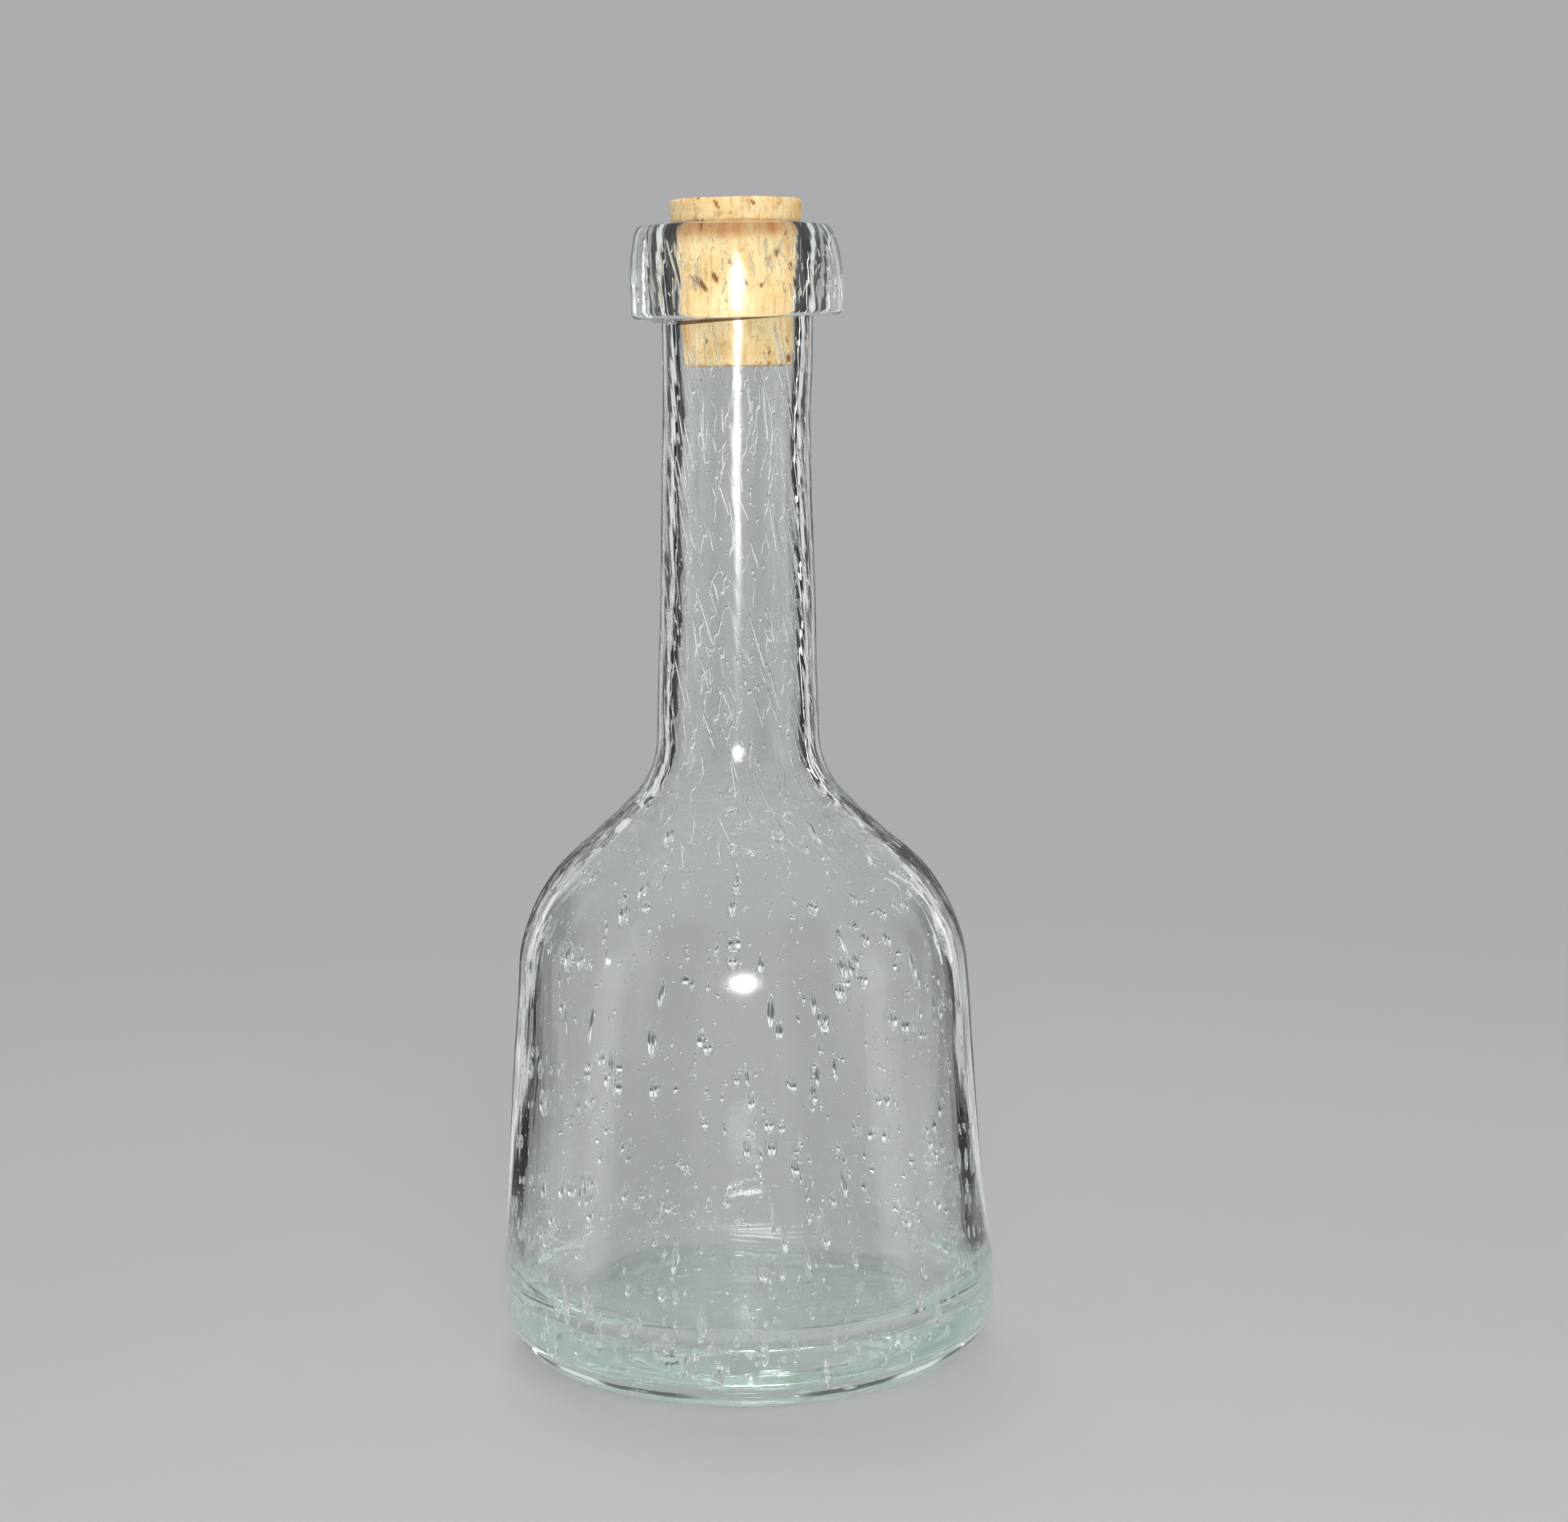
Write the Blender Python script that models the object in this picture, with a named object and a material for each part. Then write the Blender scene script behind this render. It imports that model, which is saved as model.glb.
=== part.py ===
"""A hand-blown carafe of seeded glass, with a thick lip ring and a tapered cork stopper.

The carafe stands upright with the middle of its flat underside at the origin.
Its axis is the Z axis. All sizes are in metres.
"""
import math

import bmesh
import bpy
from mathutils import Vector
from mathutils.geometry import intersect_line_line_2d

# Outside of the blown vessel, from the underside up to the mouth
HEEL_RADIUS = 0.0543          # where the line of the side meets the underside
HEEL_ROUND = 0.0145           # rounding between underside and side
BODY_HEIGHT = 0.0998          # underside to where side and shoulder lines meet
BODY_TOP_RADIUS = 0.0472
SHOULDER_ROUND = 0.0344
SHOULDER_RISE = 0.0268        # from that meeting line up to the foot of the neck
NECK_FOOT_RADIUS = 0.0175
NECK_FOOT_ROUND = 0.0194
NECK_WAIST_RISE = 0.0764      # foot of the neck up to its narrowest place
NECK_WAIST_RADIUS = 0.0155
NECK_WAIST_ROUND = 0.1500
NECK_TOP_RISE = 0.0388        # narrowest place up to the rim
NECK_TOP_RADIUS = 0.0164

# Thickness of the glass
FLOOR_THICKNESS = 0.0120
BODY_WALL = 0.0040
SHOULDER_WALL = 0.0040
NECK_WALL = 0.0042
FLOOR_ROUND = 0.0120          # rounding inside, between floor and wall

# Seat of the cork in the top of the neck
MOUTH_RADIUS = 0.0129
SEAT_DEPTH = 0.0330
SEAT_FOOT_RADIUS = 0.01175
MOUTH_ROUND = 0.0012
LIP_OUTER_ROUND = 0.0004

# Lip ring, a band of glass wound round the top of the neck
RING_RADIUS = 0.02265
RING_HEIGHT = 0.0194
RING_FOOT_INSET = 0.0003      # the band is this much narrower at its lower edge
RING_FOOT_ROUND = 0.0022
RING_BELLY_RISE = 0.0070      # lower edge up to the widest place
RING_TOP_FLAT = 0.0013        # flat rim of the band, from its bore outwards
RING_EDGE_ROUND = 0.0005

# Cork stopper
CORK_STAND = 0.0059           # how far the head stands above the rim
CORK_PLUG_LENGTH = 0.0293     # how far the plug reaches down the neck
CORK_TOP_RADIUS = 0.0139
CORK_HEAD_TAPER = 0.0002      # the head is this much narrower just above the rim
CORK_CROWN = 0.0008
CORK_TOP_ROUND = 0.0012
CORK_FOOT_ROUND = 0.0009

# Clearances between pieces
SEAT_CLEARANCE = 0.0003
RING_CLEARANCE = 0.0003

# How finely round shapes are divided
ROUND_SIDES = 56
ARC_STEP_DEGREES = 11.0
RING_SHOULDER_STEPS = 6
LONGEST_TANGENT_SHARE = 0.48  # of the shorter line that meets in a rounded corner
WELD_DISTANCE = 0.000001

RIM_HEIGHT = BODY_HEIGHT + SHOULDER_RISE + NECK_WAIST_RISE + NECK_TOP_RISE
CORK_FOOT_HEIGHT = RIM_HEIGHT - CORK_PLUG_LENGTH


def clear_scene():
    for item in list(bpy.data.objects):
        bpy.data.objects.remove(item, do_unlink=True)


def rounded_corner(before, corner, after, radius):
    """Points of the arc that rounds the corner between two straight lines."""
    to_before = before - corner
    to_after = after - corner
    opening = to_before.angle(to_after)
    shorter = min(to_before.length, to_after.length)
    tangent = min(radius / math.tan(opening / 2), shorter * LONGEST_TANGENT_SHARE)
    radius = tangent * math.tan(opening / 2)
    start = corner + to_before.normalized() * tangent
    middle = (to_before.normalized() + to_after.normalized()).normalized()
    centre = corner + middle * math.hypot(radius, tangent)
    turn = math.pi - opening
    steps = max(2, math.ceil(math.degrees(turn) / ARC_STEP_DEGREES))
    spoke = start - centre
    side = to_before.x * to_after.y - to_before.y * to_after.x
    turn = math.copysign(turn, -side)
    points = []
    for step in range(steps + 1):
        angle = turn * step / steps
        points.append(centre + Vector((
            spoke.x * math.cos(angle) - spoke.y * math.sin(angle),
            spoke.x * math.sin(angle) + spoke.y * math.cos(angle))))
    return points


def rounded_line(corners):
    """A profile through (radius, height, rounding) corners; its two ends stay sharp."""
    places = [Vector((radius, height)) for radius, height, rounding in corners]
    points = [places[0]]
    for index in range(1, len(corners) - 1):
        rounding = corners[index][2]
        if rounding:
            points += rounded_corner(places[index - 1], places[index], places[index + 1], rounding)
        else:
            points.append(places[index])
    points.append(places[-1])
    return points


def turned_piece(name, profile, material, foot_height=0.0, closed=False):
    """Turns a profile about the Z axis; the piece's own origin lies at foot_height."""
    mesh_data = bmesh.new()
    vertices = [mesh_data.verts.new((point.x, 0, point.y - foot_height)) for point in profile]
    edges = [mesh_data.edges.new(pair) for pair in zip(vertices, vertices[1:])]
    if closed:
        edges.append(mesh_data.edges.new((vertices[-1], vertices[0])))
    bmesh.ops.spin(
        mesh_data, geom=vertices + edges, cent=(0, 0, 0), axis=(0, 0, 1), dvec=(0, 0, 0),
        angle=2 * math.pi, steps=ROUND_SIDES, use_merge=True, use_duplicate=False)
    bmesh.ops.remove_doubles(mesh_data, verts=mesh_data.verts, dist=WELD_DISTANCE)
    bmesh.ops.recalc_face_normals(mesh_data, faces=mesh_data.faces)
    mesh = bpy.data.meshes.new(name)
    mesh_data.to_mesh(mesh)
    mesh_data.free()
    mesh.shade_smooth()
    mesh.set_sharp_from_angle(angle=math.radians(35))
    mesh.materials.append(material)
    piece = bpy.data.objects.new(name, mesh)
    piece.location = (0, 0, foot_height)
    bpy.context.scene.collection.objects.link(piece)
    return piece


def principled(name, colour, roughness):
    material = bpy.data.materials.new(name)
    material.use_nodes = True
    shader = material.node_tree.nodes["Principled BSDF"]
    shader.inputs["Base Color"].default_value = (*colour, 1.0)
    shader.inputs["Roughness"].default_value = roughness
    shader.inputs["Metallic"].default_value = 0.0
    return material, shader


def seeded_glass_material():
    material, shader = principled("seeded_glass", (0.90, 0.95, 0.93), 0.03)
    shader.inputs["Transmission Weight"].default_value = 1.0
    shader.inputs["IOR"].default_value = 1.52
    return material


def lip_glass_material():
    material, shader = principled("lip_glass", (0.88, 0.93, 0.91), 0.04)
    shader.inputs["Transmission Weight"].default_value = 1.0
    shader.inputs["IOR"].default_value = 1.52
    return material


def cork_material():
    return principled("natural_cork", (0.70, 0.47, 0.28), 0.85)[0]


def outside_corners():
    """The vessel's outside, from the middle of the underside up to the rim."""
    shoulder_foot = BODY_HEIGHT
    neck_foot = shoulder_foot + SHOULDER_RISE
    waist = neck_foot + NECK_WAIST_RISE
    return [
        (0.0, 0.0, 0.0),
        (HEEL_RADIUS, 0.0, HEEL_ROUND),
        (BODY_TOP_RADIUS, shoulder_foot, SHOULDER_ROUND),
        (NECK_FOOT_RADIUS, neck_foot, NECK_FOOT_ROUND),
        (NECK_WAIST_RADIUS, waist, NECK_WAIST_ROUND),
        (NECK_TOP_RADIUS, RIM_HEIGHT, LIP_OUTER_ROUND),
    ]


def shifted_line(start, end, wall):
    """The line from start to end, moved square to itself into the glass."""
    along = (end - start).normalized()
    inward = Vector((-along.y, along.x)) * wall
    return start + inward, end + inward


def inside_corners(outside):
    """Corners of the hollow: each stretch of the outside moved in by its own wall."""
    places = [Vector((radius, height)) for radius, height, rounding in outside]
    walls = [FLOOR_THICKNESS, BODY_WALL, SHOULDER_WALL, NECK_WALL]
    roundings = [FLOOR_ROUND, SHOULDER_ROUND - BODY_WALL, NECK_FOOT_ROUND + NECK_WALL]
    lines = []
    for index, wall in enumerate(walls):
        lines.append(shifted_line(places[index], places[index + 1], wall))
    corners = [(0.0, FLOOR_THICKNESS, 0.0)]
    for index, rounding in enumerate(roundings):
        (low, low_end), (high, high_end) = lines[index], lines[index + 1]
        reach = (low_end - low) * len(walls)
        further = (high_end - high) * len(walls)
        meeting = intersect_line_line_2d(
            low - reach, low_end + reach, high - further, high_end + further)
        corners.append((meeting.x, meeting.y, rounding))
    waist_radius, waist_height = lines[-1][1]
    corners.append((waist_radius, waist_height, NECK_WAIST_ROUND))
    corners.append((SEAT_FOOT_RADIUS, RIM_HEIGHT - SEAT_DEPTH, NECK_WAIST_ROUND))
    corners.append((MOUTH_RADIUS, RIM_HEIGHT, MOUTH_ROUND))
    return corners


def make_glass_bottle():
    outside = outside_corners()
    inside = inside_corners(outside)
    profile = rounded_line(outside + inside[::-1])
    return turned_piece("glass_bottle", profile, seeded_glass_material())


def ring_bore(depth):
    """Radius of the ring's bore at a depth below the rim, just clear of the flaring neck."""
    flare = (NECK_TOP_RADIUS - NECK_WAIST_RADIUS) / NECK_TOP_RISE
    return NECK_TOP_RADIUS - flare * depth + RING_CLEARANCE


def make_lip_ring():
    foot = RIM_HEIGHT - RING_HEIGHT
    belly = foot + RING_BELLY_RISE
    rim_edge = ring_bore(0.0) + RING_TOP_FLAT
    corners = [
        (ring_bore(RIM_HEIGHT - belly), belly, 0.0),
        (ring_bore(RING_HEIGHT), foot, RING_EDGE_ROUND),
        (RING_RADIUS - RING_FOOT_INSET, foot, RING_FOOT_ROUND),
        (RING_RADIUS, belly, 0.0),
    ]
    profile = rounded_line(corners)
    for step in range(1, RING_SHOULDER_STEPS + 1):
        angle = math.pi / 2 * step / RING_SHOULDER_STEPS
        profile.append(Vector((
            rim_edge + (RING_RADIUS - rim_edge) * math.cos(angle),
            belly + (RIM_HEIGHT - belly) * math.sin(angle))))
    profile.append(Vector((ring_bore(0.0), RIM_HEIGHT)))
    return turned_piece("lip_ring", profile, lip_glass_material(), closed=True)


def seat_radius(depth):
    """Radius of the tapered seat at a depth below the rim."""
    taper = (MOUTH_RADIUS - SEAT_FOOT_RADIUS) / SEAT_DEPTH
    return MOUTH_RADIUS - taper * depth


def make_cork_stopper():
    top = RIM_HEIGHT + CORK_STAND
    plug_top_radius = seat_radius(0.0) - SEAT_CLEARANCE
    plug_foot_radius = seat_radius(CORK_PLUG_LENGTH) - SEAT_CLEARANCE
    head_foot_radius = CORK_TOP_RADIUS - CORK_HEAD_TAPER
    flare = head_foot_radius - plug_top_radius
    corners = [
        (0.0, CORK_FOOT_HEIGHT, 0.0),
        (plug_foot_radius, CORK_FOOT_HEIGHT, CORK_FOOT_ROUND),
        (plug_top_radius, RIM_HEIGHT, 0.0),
        (head_foot_radius, RIM_HEIGHT + flare, 0.0),
        (CORK_TOP_RADIUS, top - CORK_CROWN, CORK_TOP_ROUND),
        (0.0, top, 0.0),
    ]
    profile = rounded_line(corners)
    return turned_piece("cork_stopper", profile, cork_material(), foot_height=CORK_FOOT_HEIGHT)


clear_scene()
make_glass_bottle()
make_lip_ring()
make_cork_stopper()
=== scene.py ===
import math
import random

import bpy
import mathutils
import numpy as np
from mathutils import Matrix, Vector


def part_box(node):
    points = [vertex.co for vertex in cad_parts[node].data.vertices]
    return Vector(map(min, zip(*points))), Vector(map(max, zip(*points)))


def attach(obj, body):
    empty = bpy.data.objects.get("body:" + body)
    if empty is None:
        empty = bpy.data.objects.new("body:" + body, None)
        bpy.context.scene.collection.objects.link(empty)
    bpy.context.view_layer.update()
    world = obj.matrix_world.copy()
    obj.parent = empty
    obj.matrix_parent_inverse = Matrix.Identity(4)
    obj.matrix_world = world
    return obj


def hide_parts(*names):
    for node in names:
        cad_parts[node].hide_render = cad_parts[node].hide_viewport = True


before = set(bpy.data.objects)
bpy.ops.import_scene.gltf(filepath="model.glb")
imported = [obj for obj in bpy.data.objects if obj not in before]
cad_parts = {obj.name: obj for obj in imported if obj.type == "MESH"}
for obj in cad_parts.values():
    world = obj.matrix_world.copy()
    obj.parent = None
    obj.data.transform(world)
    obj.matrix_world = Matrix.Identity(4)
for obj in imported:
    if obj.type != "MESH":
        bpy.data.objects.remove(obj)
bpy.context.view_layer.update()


# The camera stands in front of the carafe, about level with the foot of the cork. It looks
# slightly down, and it is rolled a little, so that the carafe seems to lean to the left.
frame_width = 1960
focal_pixels = 3900
sensor_width = 36.0
camera_place = (0.0093, -0.662, 0.214)
camera_down = math.radians(7.35)
camera_roll = math.radians(-0.73)
light_bounces = 64

bpy.ops.object.select_all(action="DESELECT")
bpy.ops.object.camera_add(location=camera_place)
camera = bpy.context.object
camera.name = "camera"
camera.data.sensor_width = sensor_width
camera.data.lens = sensor_width * focal_pixels / frame_width
camera_turn = mathutils.Matrix.Rotation(math.pi / 2 - camera_down, 3, "X")
camera_turn = camera_turn @ mathutils.Matrix.Rotation(camera_roll, 3, "Z")
camera.rotation_euler = camera_turn.to_euler()
bpy.context.scene.camera = camera
bpy.context.scene.view_settings.view_transform = "Standard"

# Light has to go on through many surfaces where bubbles lie behind bubbles.
bpy.context.scene.cycles.max_bounces = light_bounces
bpy.context.scene.cycles.transmission_bounces = light_bounces
bpy.context.scene.cycles.glossy_bounces = light_bounces


# The floor is wide, plain and pale, and it takes the shadow of the carafe. Far off it fades into
# the backdrop, so that no horizon line crosses the picture. What the glass mirrors, or bends by
# way of a bubble, fades much nearer to the carafe.
floor_radius = 6.0
floor_sides = 96
floor_gap = 0.0002
floor_colour = (0.47, 0.47, 0.465, 1.0)
floor_roughness = 0.6
floor_gloss = 0.2
backdrop_colour = (0.41, 0.413, 0.42, 1.0)
fade_start = 0.25
fade_end = 1.0
near_fade_start = 0.058
near_fade_end = 0.23
far_off_start = 0.45
far_off_end = 0.85

bpy.ops.mesh.primitive_circle_add(
    vertices=floor_sides, radius=floor_radius, fill_type="NGON", location=(0, 0, -floor_gap))
floor = bpy.context.object
floor.name = "floor"

# The room round the carafe has pale panels with darker gaps between them. Only what the glass
# mirrors, or bends by way of a bubble, shows them: anything seen straight through stays even.
# Each stop has its angle from the far side of the room in degrees, and how pale the room is.
# The first row is for mirrored rays. The other two are for rays that came through a bubble, and
# end near the carafe or far from it.
mirrored_stops = (
    (0, 1.0), (7, 1.0), (11, 0.22), (25, 0.22), (28, 1.9), (38, 1.9), (42, 0.05), (76, 0.05),
    (82, 1.0), (98, 1.0), (103, 2.4), (114, 2.4), (120, 0.3), (150, 0.3), (160, 1.1))
near_seed_stops = (
    (0, 1.0), (7, 1.0), (12, 0.18), (76, 0.18), (82, 1.0), (98, 1.0), (103, 2.4), (114, 2.4),
    (120, 0.3), (150, 0.3), (160, 1.1))
far_seed_stops = (
    (0, 1.0), (7, 1.0), (13, 2.3), (76, 2.3), (82, 1.2), (98, 1.2), (104, 2.3), (165, 2.3),
    (173, 1.0))
palest = 2.4

# A straight way through the carafe crosses four surfaces of glass, and one by a bubble more.
clear_passes = 4.0

# A ray that the glass has mirrored many times shows less and less of the panels.
many_mirrorings_start = 4.0
many_mirrorings_end = 12.0
many_mirrorings_share = 0.3

# The panels end at this height, given as the upward share of the ray's direction.
panel_top_start = 0.25
panel_top_end = 0.45


def feed(tree, socket, source):
    """Sets a socket to a plain value, or links it to the output of another node."""
    if isinstance(source, bpy.types.NodeSocket):
        tree.links.new(source, socket)
    else:
        socket.default_value = source


def add_math(tree, operation, *sources, clamp=False):
    """Adds one step of arithmetic on values or links."""
    step = tree.nodes.new("ShaderNodeMath")
    step.operation = operation
    step.use_clamp = clamp
    for socket, source in zip(step.inputs, sources):
        feed(tree, socket, source)
    return step.outputs[0]


def add_vector_math(tree, operation, *sources):
    """Adds one step on vectors. It has an output for a vector and one for a value."""
    step = tree.nodes.new("ShaderNodeVectorMath")
    step.operation = operation
    for socket, source in zip(step.inputs, sources):
        feed(tree, socket, source)
    return step.outputs


def add_range(tree, source, start, end, first=0.0, last=1.0, eased=False):
    """Goes from the first value to the last one while the source goes from start to end."""
    span = tree.nodes.new("ShaderNodeMapRange")
    if eased:
        span.interpolation_type = "SMOOTHSTEP"
    for name, value in (("Value", source), ("From Min", start), ("From Max", end),
                        ("To Min", first), ("To Max", last)):
        feed(tree, span.inputs[name], value)
    return span.outputs["Result"]


def add_mix(tree, share, first, second, kind="FLOAT"):
    """Mixes a first and a second value, or colour, by the share that the second one has."""
    mix = tree.nodes.new("ShaderNodeMix")
    mix.data_type = kind
    for name, value in (("Factor", share), ("A", first), ("B", second)):
        feed(tree, mix.inputs[name], value)
    return mix.outputs["Result"]


def add_split(tree, vector):
    """Splits a place or a direction into its X, Y and Z."""
    split = tree.nodes.new("ShaderNodeSeparateXYZ")
    feed(tree, split.inputs[0], vector)
    return split.outputs


room_panels = bpy.data.node_groups.new("room_panels", "ShaderNodeTree")
for name, in_out, kind in (
        ("Direction", "INPUT", "NodeSocketVector"), ("Mirrorings", "INPUT", "NodeSocketFloat"),
        ("Passes", "INPUT", "NodeSocketFloat"), ("Far", "INPUT", "NodeSocketFloat"),
        ("Shade", "OUTPUT", "NodeSocketFloat"), ("Bent", "OUTPUT", "NodeSocketFloat")):
    room_panels.interface.new_socket(name, in_out=in_out, socket_type=kind)
given = room_panels.nodes.new("NodeGroupInput").outputs
result = room_panels.nodes.new("NodeGroupOutput").inputs
direction = add_split(room_panels, given["Direction"])
azimuth = add_math(room_panels, "ARCTAN2", direction["X"], direction["Y"])
either_way = add_math(room_panels, "ABSOLUTE", azimuth)
turn_share = add_math(room_panels, "DIVIDE", either_way, math.pi)


def add_panels(stops):
    """How pale the room is at an angle from its far side, by a row of stops."""
    ramp = room_panels.nodes.new("ShaderNodeValToRGB")
    elements = ramp.color_ramp.elements
    for index, (angle, paleness) in enumerate(stops):
        if index >= len(elements):
            elements.new(1.0)
        level = paleness / palest
        elements[index].position = angle / 180
        elements[index].color = (level, level, level, 1)
    feed(room_panels, ramp.inputs["Fac"], turn_share)
    return add_math(room_panels, "MULTIPLY", ramp.outputs["Color"], palest)


through_bubble = add_math(room_panels, "GREATER_THAN", given["Passes"], clear_passes)
bent = add_math(room_panels, "ADD", given["Mirrorings"], through_bubble, clamp=True)
still_shown = add_range(room_panels, given["Mirrorings"], many_mirrorings_start,
                        many_mirrorings_end, 1.0, many_mirrorings_share)
bent_share = add_math(room_panels, "MULTIPLY", bent, still_shown)
low_down = add_range(room_panels, direction["Z"], panel_top_start, panel_top_end, 1.0, 0.0,
                     eased=True)
panel_share = add_math(room_panels, "MULTIPLY", bent_share, low_down)
seed_panels = add_mix(room_panels, given["Far"], add_panels(near_seed_stops),
                      add_panels(far_seed_stops))
seen_panels = add_mix(room_panels, through_bubble, add_panels(mirrored_stops), seed_panels)
feed(room_panels, result["Shade"], add_mix(room_panels, panel_share, 1.0, seen_panels))
feed(room_panels, result["Bent"], bent_share)


def add_room(tree, direction, path, far):
    """Places the panels of the room, fed by the direction and by what the ray has gone through."""
    room = tree.nodes.new("ShaderNodeGroup")
    room.node_tree = room_panels
    feed(tree, room.inputs["Direction"], direction)
    feed(tree, room.inputs["Mirrorings"], path["Glossy Depth"])
    feed(tree, room.inputs["Passes"], path["Transmission Depth"])
    feed(tree, room.inputs["Far"], far)
    return room.outputs


floor_finish = bpy.data.materials.new("pale_floor")
floor_finish.use_nodes = True
tree = floor_finish.node_tree
surface = tree.nodes["Principled BSDF"]
surface.inputs["Base Color"].default_value = floor_colour
surface.inputs["Roughness"].default_value = floor_roughness
surface.inputs["Specular IOR Level"].default_value = floor_gloss
place = tree.nodes.new("ShaderNodeTexCoord").outputs["Object"]
path = tree.nodes.new("ShaderNodeLightPath").outputs
distance = add_vector_math(tree, "LENGTH", place)["Value"]
far_off = add_range(tree, distance, far_off_start, far_off_end)
room = add_room(tree, place, path, far_off)
fade = add_range(tree, distance, fade_start, fade_end, eased=True)
near_fade = add_range(tree, distance, near_fade_start, near_fade_end, eased=True)
fade = add_mix(tree, room["Bent"], fade, near_fade)
seen = add_math(tree, "ADD", path["Is Camera Ray"], path["Is Glossy Ray"])
seen = add_math(tree, "ADD", seen, path["Is Transmission Ray"], clamp=True)
far_floor = tree.nodes.new("ShaderNodeEmission")
far_floor.inputs["Color"].default_value = backdrop_colour
feed(tree, far_floor.inputs["Strength"], room["Shade"])
blend = tree.nodes.new("ShaderNodeMixShader")
feed(tree, blend.inputs["Fac"], add_math(tree, "MULTIPLY", fade, seen))
feed(tree, blend.inputs[1], surface.outputs["BSDF"])
feed(tree, blend.inputs[2], far_floor.outputs["Emission"])
feed(tree, tree.nodes["Material Output"].inputs["Surface"], blend.outputs["Shader"])
floor.data.materials.append(floor_finish)


# The light is a plain soft studio. The camera sees an even pale backdrop, and the glass mirrors
# the panels of the room and a paler ceiling. Matt pieces get an even light from all round, made
# stronger where it comes through glass, so that the cork stays as pale as it is in daylight.
ambient_strength = 1.75
through_glass_gain = 6.4
side_gain = 0.35
ceiling_shade = 1.8
ceiling_start = 0.70
ceiling_end = 0.90

world = bpy.data.worlds.new("studio")
bpy.context.scene.world = world
world.use_nodes = True
tree = world.node_tree
way = tree.nodes.new("ShaderNodeTexCoord").outputs["Generated"]
path = tree.nodes.new("ShaderNodeLightPath").outputs
direction = add_split(tree, way)
room = add_room(tree, way, path, 1.0)
sideways = add_math(tree, "POWER", direction["X"], 2.0)
side_light = add_math(tree, "MULTIPLY_ADD", sideways, side_gain, 1.0)
ceiling = add_range(tree, direction["Z"], ceiling_start, ceiling_end, 1.0, ceiling_shade,
                    eased=True)
mirrored_room = add_math(tree, "MULTIPLY", room["Shade"], side_light)
mirrored_room = add_math(tree, "MULTIPLY", mirrored_room, ceiling)
in_glass_ray = add_math(tree, "ADD", path["Is Glossy Ray"], path["Is Transmission Ray"], clamp=True)
not_from_matt = add_math(tree, "LESS_THAN", path["Diffuse Depth"], 0.5)
seen_in_glass = add_math(tree, "MULTIPLY", in_glass_ray, not_from_matt)
ambient = add_math(tree, "MULTIPLY_ADD", path["Is Transmission Ray"], through_glass_gain,
                   ambient_strength)
strength = add_mix(tree, seen_in_glass, ambient, mirrored_room)
strength = add_mix(tree, path["Is Camera Ray"], strength, 1.0)
background = tree.nodes["Background"]
background.inputs["Color"].default_value = backdrop_colour
feed(tree, background.inputs["Strength"], strength)

# One lamp and a taller glow stand at the camera, and both are brightest in their middle. A fill
# stands in front, a thin strip on each side at the back lights the edges of the glass, and a soft
# lamp hangs above.
lamp_target = mathutils.Vector((0.0, 0.0, 0.12))
lamp_middle = (0.5, 0.5, 0.0)
lamp_edge = 0.5
lamp_falloff = 2.0


def add_lamp(name, place, width, height, power, hot_middle=False, mirrored=True,
             seen_through_glass=True):
    """Adds a flat lamp that faces the middle of the carafe. The camera doesn't see it."""
    bpy.ops.object.light_add(type="AREA", location=place)
    lamp = bpy.context.object
    lamp.name = name
    lamp.data.shape = "RECTANGLE"
    lamp.data.size = width
    lamp.data.size_y = height
    lamp.data.energy = power
    aim = lamp_target - mathutils.Vector(place)
    lamp.rotation_euler = aim.to_track_quat("-Z", "Y").to_euler()
    lamp.visible_camera = False
    lamp.visible_glossy = mirrored
    lamp.visible_transmission = seen_through_glass
    if hot_middle:
        lamp.data.use_nodes = True
        tree = lamp.data.node_tree
        face = tree.nodes.new("ShaderNodeNewGeometry").outputs["Parametric"]
        from_middle = add_vector_math(tree, "DISTANCE", face, lamp_middle)["Value"]
        fall = add_range(tree, from_middle, 0.0, lamp_edge, 1.0, 0.0, eased=True)
        peak = add_math(tree, "POWER", fall, lamp_falloff)
        feed(tree, tree.nodes["Emission"].inputs["Strength"], peak)


add_lamp("camera_lamp", (0.01, -0.70, 0.250), width=0.36, height=0.33, power=8.0, hot_middle=True)
add_lamp("camera_glow", (0.01, -0.71, 0.225), width=0.26, height=0.46, power=1.5, hot_middle=True)
add_lamp("front_fill", (0.15, -0.90, 0.45), width=0.50, height=0.50, power=3.0, mirrored=False,
         seen_through_glass=False)
add_lamp("left_strip", (-0.90, 0.80, 0.35), width=0.05, height=0.90, power=0.08)
add_lamp("right_strip", (0.90, 0.80, 0.35), width=0.05, height=0.90, power=0.3)
add_lamp("top_lamp", (-0.10, 0.30, 1.50), width=0.35, height=0.35, power=3.5, mirrored=False)


# The vessel is one piece of clear glass, blown and drawn up by hand: a thick base, a body that
# widens a little downwards, a sloping shoulder and a long neck. The lip ring was wound on hot
# and is fused to the neck, so the two are one surface here.
rim_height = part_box("glass_bottle")[1].z
ring_low, ring_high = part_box("lip_ring")

heel_radius = 0.0543
body_top_radius = 0.0472
body_height = 0.0998
neck_foot_radius = 0.0175
neck_foot_height = 0.1266
neck_waist_radius = 0.0155
neck_waist_height = 0.2030
neck_top_radius = 0.0164
mouth_radius = 0.0129
seat_foot_radius = 0.01175
seat_foot_height = rim_height - 0.0330
inner_neck_radius = 0.01130
inner_neck_foot_radius = 0.01334
inner_neck_foot_height = 0.12497
inner_body_top_radius = 0.04332
inner_body_height = 0.09791
inner_floor_radius = 0.04944
floor_thickness = 0.0120
ring_radius = ring_high.x
ring_foot_height = ring_low.z
spin_steps = 120

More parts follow.
